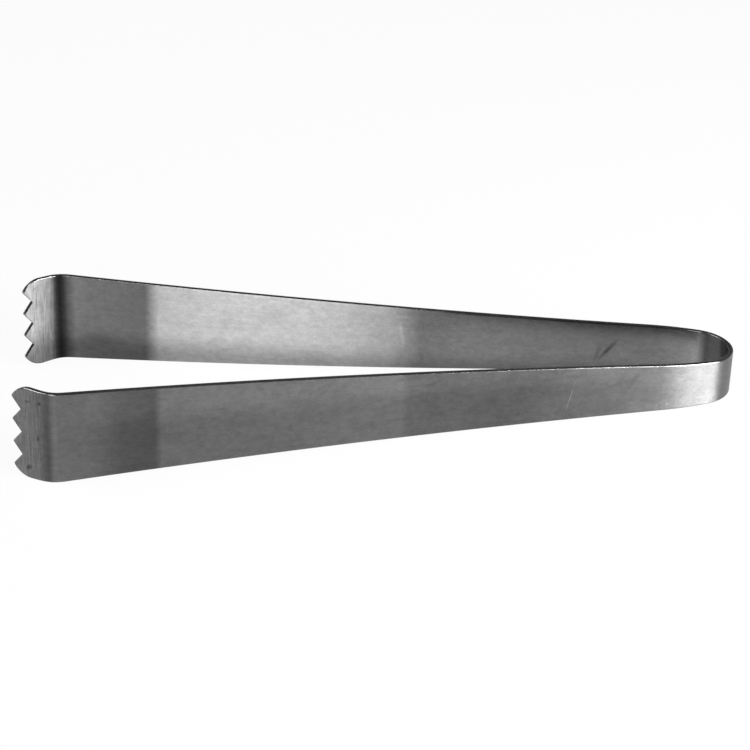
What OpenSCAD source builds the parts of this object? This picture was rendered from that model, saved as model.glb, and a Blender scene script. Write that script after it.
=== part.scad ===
// Ice tongs made from one tapered strip of spring steel.
// The strip is folded double at the bow, its two arms flare gently outward, and their wide ends
// are bent inward as toothed claws. The tongs stand on the strip's long lower edge.
// The metal is a single piece. It is divided across its width where its curve changes and where it
// flexes, so that each stretch is one true arc or flat and the springy ones can turn.

/* [Strip] */
// Thickness of the sheet
strip_t = 1.2; // [0.8:0.1:1.8]
// Width of the strip at the middle of the bow
bow_w = 11.1; // [8:0.1:16]
// Width of the strip at the tips of the teeth
claw_w = 24.3; // [19:0.1:32]

/* [Bow] */
// Inside radius of the tight fold at the bow
bow_in_r = 8.3; // [6:0.1:12]
// Angle that the tight fold turns on each side of the middle
bow_turn = 73.7; // [60:0.1:78]
// Radius of the gentle shoulder between the fold and each arm
shoulder_r = 67.5; // [45:0.5:90]

/* [Arms] */
// Length of each arm from the shoulder to the claw's bend
arm_len = 148; // [115:1:185]
// Angle of the arm from the middle line where it leaves the shoulder
arm_angle = 5.2; // [3:0.1:7]
// Angle that the arm curls outward along its length
arm_flare = 5.9; // [3:0.1:8]
// Length at the start of each arm that bends with the spring
flex_len = 25; // [15:1:45]

/* [Claws] */
// Inside radius of the claw's bend
claw_in_r = 6.6; // [3:0.1:9]
// Angle that the claw is bent inward from the arm
claw_turn = 43.1; // [30:0.1:60]
// Flat length from the bend to the tips of the teeth
claw_len = 7.6; // [6.2:0.1:12]
// Number of teeth on each claw
teeth = 4; // [2:1:5]
// Depth of the notches between the teeth
tooth_depth = 2.5; // [1.5:0.1:3.5]
// Distance from the outer tooth's tip in from the strip's edge
corner_w = 3.1; // [2:0.1:3.8]
// Length of the rounded corner outside the outer tooth
corner_run = 4.9; // [4:0.1:6]

/* [Fits] */
// Clearance across each flex line, measured along the strip
flex_gap = 0.12; // [0.1:0.01:0.2]

/* [Hidden] */
$fn = 180;
ARM_FN = 1440;
STEEL = [0.60, 0.61, 0.62];
STEEL_DARK = [0.48, 0.49, 0.50];
STEEL_LIGHT = [0.72, 0.73, 0.74];

// Directions in the plane of the strip's path, for a heading in degrees.
function ahead(h) = [cos(h), sin(h)];
function left_of(h) = [-sin(h), cos(h)];
function degrees(length, r) = length / r * 180 / PI;
function arc_length(angle, r) = angle / 180 * PI * r;

// An arc of the strip's middle line is [start point, start heading, radius, side],
// where side is 1 for an arc that turns left and -1 for one that turns right.
function centre(arc) = arc[0] + arc[3] * arc[2] * left_of(arc[1]);
function heading(arc, s) = arc[1] + arc[3] * degrees(s, arc[2]);
function spoke(arc, s) = -arc[3] * left_of(heading(arc, s));
function point(arc, s) = centre(arc) + arc[2] * spoke(arc, s);

// The middle line of the back arm, from the middle of the bow to the claw's bend.
bow_r = bow_in_r + strip_t / 2;
bow_len = arc_length(bow_turn, bow_r);
bow_arc = [[0, 0], 90, bow_r, 1];
shoulder_len = arc_length(90 - bow_turn - arm_angle, shoulder_r);
shoulder_arc = [point(bow_arc, bow_len), heading(bow_arc, bow_len), shoulder_r, 1];
arm_arc = [point(shoulder_arc, shoulder_len), heading(shoulder_arc, shoulder_len),
           arm_len * 180 / PI / arm_flare, -1];
claw_r = claw_in_r + strip_t / 2;
bend_len = arc_length(claw_turn, claw_r);
bend_arc = [point(arm_arc, arm_len), heading(arm_arc, arm_len), claw_r, 1];
flat_start = point(bend_arc, bend_len);
flat_heading = heading(bend_arc, bend_len);
claw_tip = flat_start + claw_len * ahead(flat_heading);

// The strip's width grows evenly from the bow to the teeth.
taper = atan((claw_w - bow_w) / 2 / -claw_tip[0]);
function half_width(x) = bow_w / 2 - x * tan(taper);

// The row of teeth and its rounded outer corners, in the flat of the claw.
tooth_pitch = (claw_w - 2 * corner_w) / (teeth - 1);
outer_tip = tooth_pitch * (teeth - 1) / 2;
corner_start = claw_len - corner_run;
corner_half_w = half_width(flat_start[0] + corner_start * cos(flat_heading));
corner_off = corner_half_w - outer_tip;
corner_r = (corner_run * corner_run + corner_off * corner_off) / (2 * corner_off);

// Place on the table: the lower edge lies flat, and the origin is under the middle.
lift = bow_w / 2 * cos(taper);
bow_reach = strip_t / 2 * cos(taper) + bow_w / 2 * sin(taper);
tip_reach = (claw_tip[0] + strip_t / 2 * sin(flat_heading)) * cos(taper)
            - outer_tip * sin(taper);
shift = -(bow_reach + tip_reach) / 2;

half_gap = flex_gap / 2;
reach = -2 * claw_tip[0];

// Flat shape of the bent strip along one arc, between two lengths from its start.
module band(arc, from, to, fn = $fn) {
    half_angle = degrees(to - from, arc[2]) / 2;
    ray = (arc[2] + strip_t) / cos(half_angle);
    intersection() {
        translate(centre(arc)) difference() {
            circle(arc[2] + strip_t / 2, $fn = fn);
            circle(arc[2] - strip_t / 2, $fn = fn);
        }
        polygon([centre(arc), centre(arc) + ray * spoke(arc, from),
                 centre(arc) + ray * spoke(arc, to)]);
    }
}

// Side view of the whole strip, which trims its two long edges to the taper.
module tapered_side() {
    ends = [strip_t, claw_tip[0] - strip_t];
    rotate([90, 0, 0]) linear_extrude(reach, center = true)
        polygon([for (side = [1, -1], i = [0, 1])
            let (x = ends[side > 0 ? i : 1 - i]) [x, side * half_width(x)]]);
}

module stand_on_edge() {
    translate([shift, 0, lift]) rotate([0, taper, 0]) children();
}

// Bent strip of the full height, cut to the taper and stood on its lower edge.
module strip() {
    stand_on_edge() intersection() {
        linear_extrude(2 * claw_w, center = true) children();
        tapered_side();
    }
}

module on_front() {
    mirror([0, 1, 0]) children();
}

// Outline of the claw's flat end, with +X toward the teeth and Y across the strip.
module toothed_outline() {
    past = claw_len + tooth_depth;
    steps = 2 * (teeth - 1);
    flank = tooth_pitch / 2;
    corner_mid = corner_half_w - corner_r;
    intersection() {
        polygon(concat(
            [[past, outer_tip + flank], [past, claw_w], [0, claw_w],
             [0, -claw_w], [past, -claw_w], [past, -outer_tip - flank]],
            [for (i = [0 : steps])
                [claw_len - (i % 2) * tooth_depth, -outer_tip + i * flank]]));
        union() {
            translate([0, -claw_w]) square([corner_start, 2 * claw_w]);
            translate([0, -corner_mid]) square([past, 2 * corner_mid]);
            for (side = [1, -1])
                translate([corner_start, side * corner_mid]) circle(corner_r);
        }
    }
}

module bow() {
    color(STEEL_LIGHT) strip()
        band(bow_arc, half_gap - bow_len, bow_len - half_gap);
}

module shoulder_back() {
    color(STEEL) strip()
        band(shoulder_arc, half_gap, shoulder_len);
}

module shoulder_front() {
    on_front() shoulder_back();
}

// Springy start of the arm, up to the second flex line.
module arm_root_back() {
    color(STEEL) strip()
        band(arm_arc, 0, flex_len - half_gap, ARM_FN);
}

module arm_root_front() {
    on_front() arm_root_back();
}

module arm_back() {
    color(STEEL_DARK) strip()
        band(arm_arc, flex_len + half_gap, arm_len, ARM_FN);
}

module arm_front() {
    on_front() arm_back();
}

module claw_bend_back() {
    color(STEEL_DARK) strip()
        band(bend_arc, 0, bend_len);
}

module claw_bend_front() {
    on_front() claw_bend_back();
}

module claw_back() {
    color(STEEL_LIGHT) stand_on_edge() intersection() {
        translate([flat_start[0], flat_start[1], 0]) rotate([0, 0, flat_heading])
            rotate([90, 0, 0]) linear_extrude(strip_t, center = true) toothed_outline();
        tapered_side();
    }
}

module claw_front() {
    on_front() claw_back();
}

bow();
shoulder_front();
shoulder_back();
arm_root_front();
arm_root_back();
arm_front();
arm_back();
claw_bend_front();
claw_bend_back();
claw_front();
claw_back();
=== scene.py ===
import math

import bmesh
import bpy
from mathutils import Matrix, Vector


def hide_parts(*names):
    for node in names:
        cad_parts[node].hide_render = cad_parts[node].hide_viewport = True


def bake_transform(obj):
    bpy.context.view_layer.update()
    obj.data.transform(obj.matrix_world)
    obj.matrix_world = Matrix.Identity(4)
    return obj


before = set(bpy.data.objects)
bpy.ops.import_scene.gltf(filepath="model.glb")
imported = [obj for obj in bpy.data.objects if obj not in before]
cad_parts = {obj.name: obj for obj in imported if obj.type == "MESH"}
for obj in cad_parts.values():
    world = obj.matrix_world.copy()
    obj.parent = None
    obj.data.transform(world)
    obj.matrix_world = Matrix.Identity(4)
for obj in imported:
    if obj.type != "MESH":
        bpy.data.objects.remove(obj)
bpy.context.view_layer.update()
print("tongs: frame loaded")

viewpoint = {
    "place": (-0.04487, -0.51353, 0.28155),
    "azimuth": 4.89,  # degrees, from +Y toward +X
    "elevation": 28.0,  # degrees that it looks down
    "roll": -0.3,
    "lens": 112.41,
}


def setCamera(look):
    data = bpy.data.cameras.new("camera")
    data.lens = look["lens"]
    data.sensor_width = 36
    data.clip_start = 0.01
    data.clip_end = 20
    camera = bpy.data.objects.new("camera", data)
    bpy.context.scene.collection.objects.link(camera)
    turn = (Matrix.Rotation(-math.radians(look["azimuth"]), 4, "Z")
            @ Matrix.Rotation(math.radians(90 - look["elevation"]), 4, "X")
            @ Matrix.Rotation(math.radians(look["roll"]), 4, "Z"))
    camera.matrix_world = Matrix.Translation(look["place"]) @ turn
    bpy.context.scene.camera = camera


setCamera(viewpoint)
bpy.context.scene.view_settings.view_transform = "Standard"
print("tongs: camera set")


class Wire:
    def __init__(self, bench, socket):
        self.bench = bench
        self.socket = socket

    def join(self, operation, first, second=0.0):
        return self.bench.add("ShaderNodeMath", {"operation": operation}, {0: first, 1: second})

    def __add__(self, other):
        return self.join("ADD", self, other)

    def __sub__(self, other):
        return self.join("SUBTRACT", self, other)

    def __mul__(self, other):
        return self.join("MULTIPLY", self, other)

    def __truediv__(self, other):
        return self.join("DIVIDE", self, other)

    def __radd__(self, other):
        return self.join("ADD", other, self)

    def __rsub__(self, other):
        return self.join("SUBTRACT", other, self)

    def __rmul__(self, other):
        return self.join("MULTIPLY", other, self)

    def __abs__(self):
        return self.join("ABSOLUTE", self)

    def ease(self, low, high, start=0.0, end=1.0):  # soft step from start to end
        return self.bench.add("ShaderNodeMapRange", {"interpolation_type": "SMOOTHSTEP"},
                              {"Value": self, "From Min": low, "From Max": high,
                               "To Min": start, "To Max": end})


class Bench:
    def __init__(self, tree):
        self.tree = tree
        tree.nodes.clear()

    def add(self, kind, settings=None, sockets=None, output=0):
        node = self.tree.nodes.new(kind)
        for name, value in (settings or {}).items():
            if name == "stops":
                ramp = node.color_ramp
                while len(ramp.elements) < len(value):
                    ramp.elements.new(0.5)
                for element, (place, tone) in zip(ramp.elements, value):
                    element.position = place
                    element.color = (tone, tone, tone, 1)
            else:
                setattr(node, name, value)
        for name, value in (sockets or {}).items():
            if isinstance(value, Wire):
                self.tree.links.new(value.socket, node.inputs[name])
            else:
                node.inputs[name].default_value = value
        return Wire(self, node.outputs[output]) if node.outputs else node


studio = {
    "floorRadius": 3.0,  # metres
    "backdropRadius": 2.2,
    "backdropHeight": 0.32,
    "floorShade": 0.08,  # share of the floor that takes light and shadow
    "floorWhite": 0.95,
    "worldLight": 0.07,
}

softboxes = {  # azimuth from -Y toward +X and elevation in degrees, sizes in metres
    "frontRight": {"azimuth": 46, "elevation": 22, "aim": (0.07, 0, 0.01),
                   "distance": 0.45, "size": (0.24, 0.34), "glow": 17.0},
    "frontLeft": {"azimuth": -16, "elevation": 20, "aim": (0, 0, 0.01),
                  "distance": 1.2, "size": (0.3, 0.8), "glow": 4.0},
    "upperLeft": {"azimuth": -95, "elevation": 56, "aim": (0, 0, 0),
                  "distance": 1.5, "size": (0.9, 0.9), "glow": 4.2},
}


def setStudio(look, boxes):
    disc = bmesh.new()
    bmesh.ops.create_circle(disc, cap_ends=True, segments=96, radius=look["floorRadius"])
    mesh = bpy.data.meshes.new("floor")
    disc.to_mesh(mesh)
    disc.free()
    floor = bpy.data.objects.new("floor", mesh)
    bpy.context.scene.collection.objects.link(floor)
    paint = bpy.data.materials.new("paleFloor")
    paint.use_nodes = True
    bench = Bench(paint.node_tree)
    white = (look["floorWhite"],) * 3 + (1,)
    seen = [bench.add("ShaderNodeLightPath", {}, {}, name)
            for name in ("Is Camera Ray", "Is Glossy Ray", "Is Transmission Ray")]
    anySeen = (seen[0] + seen[1] + seen[2]).ease(0, 1, 0, 1 - look["floorShade"])
    matte = bench.add("ShaderNodeBsdfDiffuse", {}, {"Color": white})
    glow = bench.add("ShaderNodeEmission", {}, {"Color": (1, 1, 1, 1), "Strength": 1.0})
    both = bench.add("ShaderNodeMixShader", {}, {0: anySeen, 1: matte, 2: glow})
    bench.add("ShaderNodeOutputMaterial", {}, {"Surface": both})
    mesh.materials.append(paint)

    wall = bmesh.new()  # low curved backdrop behind the tongs
    post = wall.verts.new((look["backdropRadius"], 0, 0))
    bmesh.ops.spin(wall, geom=[post], cent=(0, 0, 0), axis=(0, 0, 1), angle=math.pi, steps=48)
    raised = bmesh.ops.extrude_edge_only(wall, edges=wall.edges[:])
    bmesh.ops.translate(wall, vec=(0, 0, look["backdropHeight"]),
                        verts=[part for part in raised["geom"] if isinstance(part, bmesh.types.BMVert)])
    mesh = bpy.data.meshes.new("backdrop")
    wall.to_mesh(mesh)
    wall.free()
    backdrop = bpy.data.objects.new("backdrop", mesh)
    bpy.context.scene.collection.objects.link(backdrop)
    mesh.materials.append(paint)

    world = bpy.data.worlds.new("studio")
    bpy.context.scene.world = world
    world.use_nodes = True
    bench = Bench(world.node_tree)
    grey = bench.add("ShaderNodeBackground", {}, {"Color": (1, 1, 1, 1), "Strength": look["worldLight"]})
    bench.add("ShaderNodeOutputWorld", {}, {"Surface": grey})

    for name, box in boxes.items():
        data = bpy.data.lights.new(name, "AREA")
        data.shape = "RECTANGLE"
        data.size, data.size_y = box["size"]
        data.energy = box["glow"] * math.pi * box["size"][0] * box["size"][1]
        lamp = bpy.data.objects.new(name, data)
        bpy.context.scene.collection.objects.link(lamp)
        lamp.matrix_world = (Matrix.Translation(box["aim"])
                             @ Matrix.Rotation(math.radians(box["azimuth"]), 4, "Z")
                             @ Matrix.Rotation(math.radians(90 - box["elevation"]), 4, "X")
                             @ Matrix.Translation((0, 0, box["distance"])))
        lamp.visible_camera = False


setStudio(studio, softboxes)
print("tongs: floor and lamps ready")

strip = {  # millimetres and degrees, all along the middle of the sheet
    "thickness": 1.2,
    "bowWidth": 11.1,
    "clawWidth": 24.3,
    "bowRadius": 8.9,
    "bowTurn": 73.7,
    "shoulderRadius": 67.5,
    "armLength": 148.0,
    "armAngle": 5.2,
    "armFlare": 5.9,
    "clawRadius": 7.2,
    "clawTurn": 43.1,
    "clawLength": 7.6,
    "bendEase": 0.9,  # how far each change of curve is softened
}


class MiddleLine:
    def __init__(self, size):
        turns = [(size["bowTurn"], size["bowRadius"]),
                 (90 - size["bowTurn"] - size["armAngle"], size["shoulderRadius"])]
        self.stretches = [(math.radians(turn) * radius, math.radians(turn)) for turn, radius in turns]
        self.stretches.append((size["armLength"], -math.radians(size["armFlare"])))
        self.stretches.append((math.radians(size["clawTurn"]) * size["clawRadius"],
                               math.radians(size["clawTurn"])))
        self.stretches.append((size["clawLength"], 0.0))
        self.length = sum(length for length, turn in self.stretches)
        self.flatStart = self.length - size["clawLength"]
        self.step = 0.1
        self.points = [Vector((0, 0))]
        ease = size["bendEase"]
        self.headings = [self.softHeading(0, ease)]
        while (len(self.points) - 1) * self.step < self.length + 1:
            here = len(self.points) * self.step
            middle = self.softHeading(here - self.step / 2, ease)
            self.points.append(self.points[-1] + self.step * Vector((math.cos(middle), math.sin(middle))))
            self.headings.append(self.softHeading(here, ease))
        tip = self.at(self.length)[0]
        self.taper = math.atan((size["clawWidth"] - size["bowWidth"]) / 2 / -tip.x)
        self.bowHalf = size["bowWidth"] / 2

    def heading(self, along):
        angle = math.pi / 2
        for length, turn in self.stretches:
            part = min(along, length)
            angle += turn * part / length
            along -= part
            if along <= 0:
                break
        return angle

    def softHeading(self, along, ease):
        return sum(self.heading(along + ease * step / 4) for step in range(-4, 5)) / 9

    def at(self, along):
        place = min(along / self.step, len(self.points) - 1.001)
        low = int(place)
        part = place - low
        return (self.points[low].lerp(self.points[low + 1], part),
                self.headings[low] * (1 - part) + self.headings[low + 1] * part)

    def halfWidth(self, along):
        return self.bowHalf - self.at(along)[0].x * math.tan(self.taper)


line = MiddleLine(strip)


teeth = {
    "count": 4,
    "depth": 2.5,
    "cornerWidth": 3.1,
    "cornerRun": 4.9,
    "cornerCuts": 9,
    "tipRound": 0.35,
}


def standingPlace(size, path):  # stands the strip on its lower edge, with the origin under its middle
    tip, heading = path.at(path.length)
    half = size["thickness"] / 2
    outerTip = size["clawWidth"] / 2 - teeth["cornerWidth"]
    bowReach = half * math.cos(path.taper) + path.bowHalf * math.sin(path.taper)
    tipReach = (tip.x + half * math.sin(heading)) * math.cos(path.taper) - outerTip * math.sin(path.taper)
    return (Matrix.Translation((-(bowReach + tipReach) / 2, 0, path.bowHalf * math.cos(path.taper)))
            @ Matrix.Rotation(path.taper, 4, "Y"))


rim = {
    "support": 0.5,  # distance in from the edge of the loop that keeps the faces flat
    "outerRound": 0.24,  # the side that the press drew down
    "innerRound": 0.14,
    "roundSteps": 3,
}

stand = standingPlace(strip, line)

bowBlank = {
    "from": 0.0,
    "to": 26.0,
    "rows": [(0.1, 0.05), (14.0, 0.35), (25.8, 0.9), (26.0, 0.1)],  # up to where, and how far apart
    "columns": 6,
}

armBlank = {
    "from": 26.0,
    "to": line.length,
    "rows": [(26.2, 0.1), (168.0, 2.0), (179.3, 0.25)],
    "columns": 6,
}


def rowPlaces(blank):
    places = [blank["from"]]
    for until, gap in blank["rows"]:
        count = max(1, round((until - places[-1]) / gap))
        start = places[-1]
        places += [start + (until - start) * (step + 1) / count for step in range(count)]
    if places[-1] < blank["to"] - 0.001:
        places.append(blank["to"])
    return places


def flatSheet(blank):
    places = rowPlaces(blank)
    sheet = bmesh.new()
    bmesh.ops.create_grid(sheet, x_segments=len(places) - 1, y_segments=blank["columns"] + 2, size=1)
    for vert in sheet.verts:
        along = places[round((vert.co.x + 1) / 2 * (len(places) - 1))]
        column = round((vert.co.y + 1) / 2 * (blank["columns"] + 2))
        half = line.halfWidth(along)
        inner = half - rim["support"]
        if column == 0:
            across = -half
        elif column == blank["columns"] + 2:
            across = half
        else:
            across = -inner + 2 * inner * (column - 1) / blank["columns"]
        vert.co = (along, across, 0)
    return sheet


def everything(sheet):
    return sheet.verts[:] + sheet.edges[:] + sheet.faces[:]


def cutTeeth(sheet):
    tip = line.length
    panelStart = rowPlaces(armBlank)[-2]
    pitch = (strip["clawWidth"] - 2 * teeth["cornerWidth"]) / (teeth["count"] - 1)
    outerTip = pitch * (teeth["count"] - 1) / 2
    run = teeth["cornerRun"]
    cornerHalf = line.halfWidth(tip - run)
    off = cornerHalf - outerTip
    radius = (run * run + off * off) / (2 * off)
    sweep = math.asin(run / radius)
    for side in (1, -1):
        for step in range(teeth["cornerCuts"]):
            angle = sweep * (step + 0.5) / teeth["cornerCuts"]
            outward = Vector((math.sin(angle), side * math.cos(angle), 0))
            middle = Vector((tip - run, side * (cornerHalf - radius), 0))
            bmesh.ops.bisect_plane(sheet, geom=everything(sheet), dist=0.0001,
                                   plane_co=middle + radius * outward * 0.9995, plane_no=outward,
                                   clear_outer=True)

    def panel():
        return [face for face in sheet.faces if face.calc_center_median().x > panelStart]

    flank = Vector((teeth["depth"], pitch / 2, 0)).normalized()
    for notch in range(teeth["count"] - 1):
        bottom = Vector((tip - teeth["depth"], -outerTip + pitch * (notch + 0.5), 0))
        for side in (1, -1):
            faces = panel()
            parts = list({edge for face in faces for edge in face.edges})
            corners = list({vert for face in faces for vert in face.verts})
            bmesh.ops.bisect_plane(sheet, geom=faces + parts + corners, dist=0.0001, plane_co=bottom,
                                   plane_no=Vector((flank.y, -side * flank.x, 0)))
    gone = []
    for face in panel():
        middle = face.calc_center_median()
        notch = min(range(teeth["count"] - 1),
                    key=lambda n: abs(middle.y - (-outerTip + pitch * (n + 0.5))))
        away = abs(middle.y - (-outerTip + pitch * (notch + 0.5)))
        if middle.x - (tip - teeth["depth"]) > away * teeth["depth"] / (pitch / 2):
            gone.append(face)
    bmesh.ops.delete(sheet, geom=gone, context="FACES")
    bmesh.ops.dissolve_faces(sheet, faces=panel())
    bmesh.ops.remove_doubles(sheet, verts=panel()[0].verts[:], dist=0.05)
    face = panel()[0]
    loose = [vert for vert in face.verts if len(vert.link_edges) == 2]
    bmesh.ops.dissolve_limit(sheet, angle_limit=math.radians(1.5), use_dissolve_boundaries=False,
                             verts=loose, edges=[])
    face = panel()[0]
    tips = [vert for vert in face.verts if vert.co.x > tip - 0.05]
    bmesh.ops.bevel(sheet, geom=tips, offset=teeth["tipRound"], offset_type="OFFSET", segments=3,
                    profile=0.5, affect="VERTICES", material=-1)
    bmesh.ops.inset_individual(sheet, faces=panel(), thickness=rim["support"] * 0.8, use_even_offset=True)
    print("tongs: claw panel cut,", len(tips), "tips")


def thicken(sheet, blank):
    half = strip["thickness"] / 2
    bmesh.ops.translate(sheet, verts=sheet.verts[:], vec=(0, 0, -half))
    grown = bmesh.ops.extrude_face_region(sheet, geom=sheet.faces[:])
    bmesh.ops.translate(sheet, verts=[part for part in grown["geom"] if isinstance(part, bmesh.types.BMVert)],
                        vec=(0, 0, 2 * half))
    bmesh.ops.recalc_face_normals(sheet, faces=sheet.faces[:])
    seams = [blank["from"], blank["to"]] if blank is bowBlank else [blank["from"]]
    for face, size in ((1, rim["outerRound"]), (-1, rim["innerRound"])):
        rims = []
        for edge in sheet.edges:
            ends = [vert.co for vert in edge.verts]
            onFace = all(abs(end.z - face * half) < 1e-5 for end in ends)
            onSeam = any(all(abs(end.x - seam) < 1e-4 for end in ends) for seam in seams)
            if onFace and not onSeam and edge.calc_face_angle(0) > math.radians(60):
                rims.append(edge)
        bmesh.ops.bevel(sheet, geom=rims, offset=size, offset_type="OFFSET", segments=rim["roundSteps"],
                        profile=0.5, affect="EDGES", material=-1, clamp_overlap=False)


def bend(sheet, side):
    layer = sheet.verts.layers.float_vector.new("blank")  # millimetres along, across and through the sheet
    cut = sheet.verts.layers.float.new("cut")  # 1 on the cut edge of the sheet
    for vert in sheet.verts:
        along, across, through = vert.co
        vert[layer] = (side * along, across, through)
        vert[cut] = float(all(abs(face.normal.z) < 0.98 for face in vert.link_faces))
        middle, heading = line.at(along)
        spot = Vector((middle.x + through * math.sin(heading),
                       side * (middle.y - through * math.cos(heading)), across))
        vert.co = (stand @ spot) * 0.001
    bmesh.ops.recalc_face_normals(sheet, faces=sheet.faces[:])
    for face in sheet.faces:
        face.smooth = True
    for edge in sheet.edges:
        edge.smooth = edge.calc_face_angle(0) < math.radians(40)


def formPiece(name, blank, side):
    sheet = flatSheet(blank)
    if blank is armBlank:
        cutTeeth(sheet)
    thicken(sheet, blank)
    bend(sheet, side)
    mesh = bpy.data.meshes.new(name)
    sheet.to_mesh(mesh)
    sheet.free()
    piece = bpy.data.objects.new(name, mesh)
    bpy.context.scene.collection.objects.link(piece)
    mesh.materials.append(steel)
    mesh.use_auto_texspace = False  # keeps the brushing's direction level all over the piece
    mesh.texspace_location = (0, -side, 0)
    mesh.texspace_size = (1, 1, 1)
    print("tongs:", name, len(mesh.polygons), "faces")
    return piece


finishAndPaintedLight = {
    "reach": 190,  # millimetres that the stops below are spread over
    "tone": 0.22,
    "brushed": 0.85,
    # tone and roughness of each face, by millimetres from the middle of the bow; the tone stops carry painted
    # highlights, painted reflections and painted shade as well as zones of finish
    # outer tone: the rise from 11.5 to 22 mm is partly a painted highlight on the bow, and the dip at 175.8 mm is
    # painted shade in the claw bend
    "outerTone": [(0, 1.0), (9, 1.0), (11.5, 1.25), (17, 1.35), (22, 1.15), (27, 0.9), (35, 0.72), (60, 0.56),
                  (80, 0.6), (88.5, 0.66), (90.5, 0.82), (130, 0.8), (149.2, 0.8), (150.8, 0.46),
                  (159, 0.52), (166, 0.78), (173, 0.86), (175.8, 0.46), (178, 0.8), (186, 1.0)],
    # inner tone: the bright run from 90 to 149 mm is partly a painted reflection of a lamp, the low stops from
    # 173.5 to 176.6 mm are painted shade in the claw bend, and the rise after them is a painted highlight on the
    # claw face
    "innerTone": [(0, 0.4), (8.9, 0.42), (11.2, 1.3), (14, 1.0), (22, 0.78), (34, 0.72), (70, 0.92),
                  (82, 1.0), (90, 2.2), (100, 2.7), (112, 3.0), (138, 3.1), (149.2, 2.8), (152.6, 0.86),
                  (168, 0.92), (171, 1.0), (173.5, 0.3), (175.3, 0.12), (176.6, 0.3), (177.8, 0.55),
                  (180, 0.8), (182.5, 1.05), (186, 1.15)],
    "outerRough": [(0, 0.42), (186, 0.42)],
    "innerRough": [(0, 0.3), (9, 0.3), (12, 0.14), (70, 0.15), (90, 0.42), (186, 0.42)],
    # painted light on the top of the outer face, and painted shade on the lower part of the inner face
    "outerTopLight": 0.3,
    "innerLowShade": 0.46,
    "cutTone": 1.6,
    "cutRough": 0.2,
}

wear = {  # from and to (along, across), half width and change of tone; the front arm has negative lengths
    "outer": [((-46.8, 4.0), (-49.4, -6.6), 0.2, 0.6), ((-85.7, 4.6), (-80.1, 6.7), 0.45, -0.16),
              ((-30.5, 5.2), (-33.5, 0.2), 1.0, -0.14), ((-25.6, -4.7), (-25.7, -4.6), 0.3, 0.5),
              ((-22.9, -4.5), (-23.0, -4.4), 0.32, 0.45), ((-22.0, -4.2), (-22.1, -4.3), 0.2, 0.3),
              ((-178.4, -1.2), (-178.2, 0.0), 0.55, -0.5), ((-181.5, -9.3), (-180.8, -8.7), 0.9, -0.45),
              ((-177.7, 8.6), (-177.6, 9.2), 0.6, -0.45), ((-181.6, 8.5), (-180.2, 8.8), 0.6, -0.28),
              ((-177.9, -6.2), (-177.9, -5.6), 0.25, -0.35), ((-138.5, 3.6), (-132.5, 3.7), 0.3, -0.16),
              ((-66, -2.5), (-70, 1.5), 2.2, -0.1), ((-112, 6.8), (-118, 7.6), 1.6, 0.07)],
    "inner": [((31.4, 2.4), (36.6, -4.2), 0.85, -0.45), ((36.0, 0.6), (37.2, -4.6), 0.9, -0.22),
              ((178.5, -2.5), (177.5, -7.2), 0.18, 0.55), ((181.7, 10.4), (182.3, 2.2), 0.22, -0.3),
              ((179.3, 10.2), (179.7, 4.6), 0.25, -0.3), ((180.4, -3.2), (180.8, -8.0), 0.6, -0.12),
              ((181.0, 10.2), (183.2, 9.4), 0.35, -0.3), ((87.5, 5.5), (86.0, -3.5), 0.8, 0.22),
              ((160, -6.5), (170, -5.0), 2.2, -0.14)],
}


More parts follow.
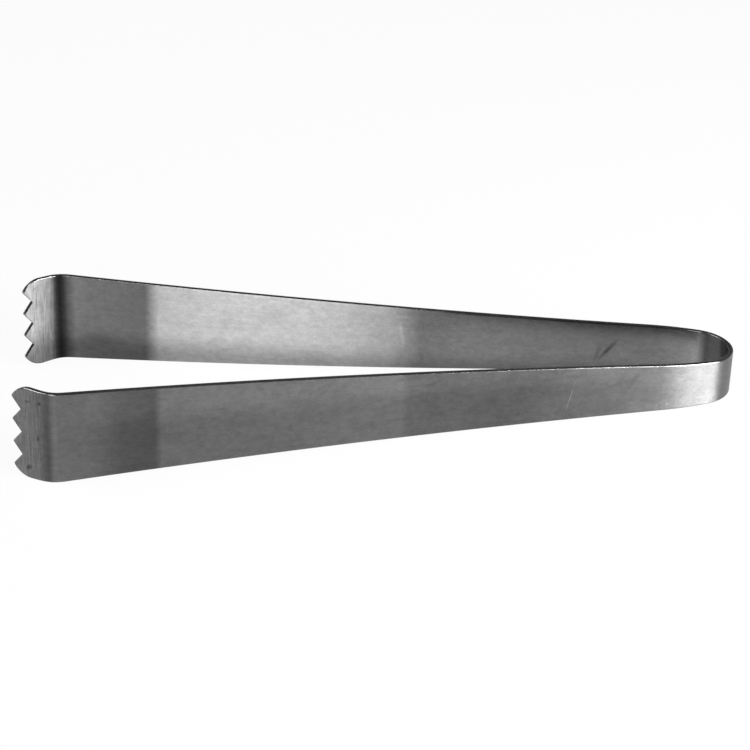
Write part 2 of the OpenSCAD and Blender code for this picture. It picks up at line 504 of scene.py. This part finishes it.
def brushedSteel(look, marks):
    material = bpy.data.materials.new("brushedSteel")
    material.use_nodes = True
    bench = Bench(material.node_tree)
    blank = bench.add("ShaderNodeAttribute", {"attribute_name": "blank"}, {}, "Vector")
    cut = bench.add("ShaderNodeAttribute", {"attribute_name": "cut"}, {}, "Fac").ease(0.2, 0.8)
    along, across, through = [bench.add("ShaderNodeSeparateXYZ", {}, {0: blank}, axis) for axis in range(3)]
    reach = look["reach"]
    fromBow = abs(along) / reach
    outside = through.ease(-0.3, 0.3)
    inside = 1 - outside

    def byLength(stops, full):
        return bench.add("ShaderNodeValToRGB", {"stops": [(place / reach, value / full) for place, value in stops]},
                         {0: fromBow}) * full

    def cloud(scale, detail, shift=(0, 0, 0)):
        spot = bench.add("ShaderNodeMapping", {}, {"Vector": blank, "Location": shift, "Scale": scale})
        return bench.add("ShaderNodeTexNoise", {}, {"Vector": spot, "Scale": 1.0, "Detail": detail,
                                                    "Roughness": 0.6}, "Fac") - 0.5

    def mark(start, end, width, change):
        run = Vector(end) - Vector(start)
        spot = bench.add("ShaderNodeMapping", {"vector_type": "TEXTURE"}, {
            "Vector": blank, "Location": ((start[0] + end[0]) / 2, (start[1] + end[1]) / 2, 0),
            "Rotation": (0, 0, math.atan2(run.y, run.x)), "Scale": (run.length / 2 + width, width, 99)})
        fromMiddle = bench.add("ShaderNodeVectorMath", {"operation": "LENGTH"}, {0: spot}, "Value")
        return fromMiddle.ease(1.0, 0.1, 0, change * 1.25)  # 1 is the rim of the mark

    marked = (sum(mark(*one) for one in marks["outer"]) * outside
              + sum(mark(*one) for one in marks["inner"]) * inside)

    # tone along each face; its stops hold painted highlights, painted reflections and painted shade besides the
    # zones of finish
    face = byLength(look["outerTone"], 2) * outside + byLength(look["innerTone"], 4) * inside
    zone = face * (1 - cut) + look["cutTone"] * cut
    # painted light: the outer face of each arm is lighter towards its top edge; painted shade: the inner face is
    # darker towards its lower edge
    armOnly = fromBow.ease(25 / reach, 42 / reach) * fromBow.ease(172 / reach, 160 / reach)
    paintedTopLightLowShade = (outside * armOnly * across.ease(0.5, 6, 0, look["outerTopLight"])
            - inside * across.ease(-2, -9, 0, look["innerLowShade"]))

    grain = cloud((1.3, 7.0, 2.0), 3.0)
    streak = cloud((0.09, 2.4, 1.0), 3.0, (3, 7, 1))
    mottle = cloud((0.55, 0.8, 1.0), 4.0, (11, 2, 5))
    smudge = cloud((0.1, 0.15, 1.0), 3.0, (1, 4, 9))
    specks = bench.add("ShaderNodeTexVoronoi", {}, {
        "Vector": bench.add("ShaderNodeMapping", {}, {"Vector": blank, "Scale": (0.42, 0.42, 0.05)}), "Scale": 1.0},
        "Distance").ease(0.13, 0.05) * mottle.ease(0.02, 0.1)
    clawOnly = fromBow.ease(175 / reach, 178 / reach)
    filed = cloud((3.2, 0.16, 1.0), 4.0, (5, 3, 2)) * clawOnly
    tone = (look["tone"] * zone * (1 + paintedTopLightLowShade) * (1 + marked * (1 + 1.6 * mottle) - 0.32 * specks)
            * (1 + 0.5 * grain + 0.24 * streak + 0.62 * mottle + 0.34 * smudge + 1.5 * filed))
    surface = byLength(look["outerRough"], 1) * outside + byLength(look["innerRough"], 1) * inside
    rough = surface * (1 - cut) + look["cutRough"] * cut + 0.05 * streak + 0.07 * smudge + 0.05 * mottle
    colour = bench.add("ShaderNodeCombineColor", {}, {0: tone, 1: tone, 2: tone})
    relief = grain + 0.6 * streak + 0.5 * mottle
    lines = bench.add("ShaderNodeBump", {}, {"Strength": 0.12, "Distance": 0.0002,
                                             "Height": relief * surface.ease(0.12, 0.42, 0.06, 1)})
    metal = bench.add("ShaderNodeBsdfPrincipled", {}, {
        "Base Color": colour, "Metallic": 1.0, "Roughness": rough, "Normal": lines,
        "Anisotropic": look["brushed"], "Anisotropic Rotation": 0.25})
    bench.add("ShaderNodeOutputMaterial", {}, {"Surface": metal})
    return material


steel = brushedSteel(finishAndPaintedLight, wear)


def spotOn(along, side):
    middle = line.at(along)[0]
    return (stand @ Vector((middle.x, side * middle.y, 0))) * 0.001


springing = {"bowFrom": 5.5, "bowTo": 23.0, "armFrom": 29.0, "armTo": 80.0}

for sideName, side in (("back", 1), ("front", -1)):
    half = formPiece(sideName + "BowHalf", bowBlank, side)
    arm = formPiece(sideName + "Arm", armBlank, side)
    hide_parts("bow", "shoulder_" + sideName, "arm_root_" + sideName)
    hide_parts("arm_root_" + sideName, "arm_" + sideName, "claw_bend_" + sideName, "claw_" + sideName)
    spotOn(springing["bowFrom"], side)
    spotOn(springing["bowTo"], side)
    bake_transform(half)
    spotOn(springing["armFrom"], side)
    spotOn(springing["armTo"], side)
    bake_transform(arm)
